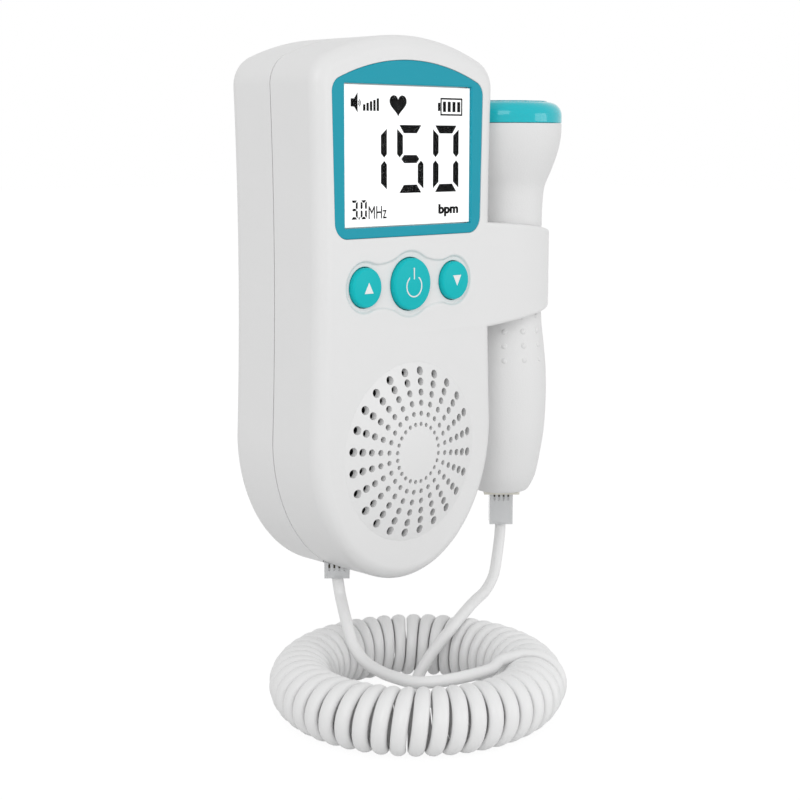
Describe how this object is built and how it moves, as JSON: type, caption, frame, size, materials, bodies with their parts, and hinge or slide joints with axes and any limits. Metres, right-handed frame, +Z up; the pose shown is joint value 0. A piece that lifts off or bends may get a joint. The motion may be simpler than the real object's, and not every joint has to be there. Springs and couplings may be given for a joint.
{
  "type": "fetal doppler monitor",
  "caption": "Pocket fetal doppler: two-shell housing with LCD, push buttons and domed speaker grille, ultrasound probe clipped in a side holder, curly cord between them.",
  "frame": {"origin": "on the flat rear face of the housing, straight behind the centre of the loudspeaker grille", "axes": "+X to the right of the face, towards the probe; +Y out of the rear face; +Z up"},
  "size_m": [0.1072, 0.077, 0.1659],
  "materials": {
    "shell_white": "fine satin moulded white",
    "inner_white": "plain moulded white",
    "bezel_teal": "printed teal, semi-gloss",
    "button_teal": "satin teal with white symbols",
    "cap_teal": "glossy teal",
    "lens_teal": "smooth teal contact face",
    "window_clear": "clear polished plastic",
    "lcd": "bright backlit display with dark segments",
    "circuit_board": "green solder mask",
    "keypad_rubber": "grey silicone",
    "speaker_steel": "zinc-plated pressed steel",
    "speaker_paper": "black pressed paper",
    "bright_metal": "nickel-plated",
    "cell_jacket": "plain dark jacket with bare ends",
    "socket_cream": "cream moulded",
    "plug_clear": "clear moulded plug",
    "probe_white": "finely sparked matte white",
    "crystal_ceramic": "silvered piezo ceramic",
    "backing_rubber": "black damping rubber",
    "cord_white": "smooth white cord jacket"
  },
  "bodies": {
    "unit": {"front_shell": "shell_white", "rear_shell": "shell_white", "display_bezel": "bezel_teal", "display_window": "window_clear", "display_panel": "lcd", "display_tray": "inner_white", "main_board": "circuit_board", "keypad_mat": "keypad_rubber", "speaker_basket": "speaker_steel", "speaker_cone": "speaker_paper", "speaker_magnet": "speaker_steel", "case_screw_1": "bright_metal", "case_screw_2": "bright_metal", "case_screw_3": "bright_metal", "case_screw_4": "bright_metal", "battery_1": "cell_jacket", "battery_2": "cell_jacket", "contact_plate_1": "bright_metal", "contact_plate_2": "bright_metal", "contact_spring_1": "bright_metal", "contact_spring_2": "bright_metal", "unit_socket": "socket_cream", "unit_plug": "plug_clear", "cord_lead_unit": "cord_white", "cord_coil": "cord_white", "cord_lead_probe": "cord_white"},
    "up_button": {"up_button": "button_teal"},
    "power_button": {"power_button": "button_teal"},
    "down_button": {"down_button": "button_teal"},
    "battery_door": {"battery_door": "shell_white"},
    "probe": {"probe_handle": "probe_white", "probe_cap": "cap_teal", "probe_lens": "lens_teal", "transmit_crystal": "crystal_ceramic", "receive_crystal": "crystal_ceramic", "crystal_holder": "backing_rubber", "probe_board": "circuit_board", "probe_socket": "socket_cream", "probe_plug": "plug_clear"}
  },
  "joints": [
    {"name": "up_press", "type": "slide", "parent": "unit", "child": "up_button", "axis": [0, 1, 0], "range_m": [0, 0.001], "stiffness_N_per_m": 800},
    {"name": "power_press", "type": "slide", "parent": "unit", "child": "power_button", "axis": [0, 1, 0], "range_m": [0, 0.001], "stiffness_N_per_m": 800},
    {"name": "down_press", "type": "slide", "parent": "unit", "child": "down_button", "axis": [0, 1, 0], "range_m": [0, 0.001], "stiffness_N_per_m": 800},
    {"name": "battery_door_tilt", "type": "hinge", "parent": "unit", "child": "battery_door", "pos_m": [0, 0, 0.0118], "axis": [-1, 0, 0], "range_deg": [0, 75]},
    {"name": "probe_slide", "type": "slide", "parent": "unit", "child": "probe", "axis": [0, 1, 0], "range_m": [0, 0.045]}
  ]
}
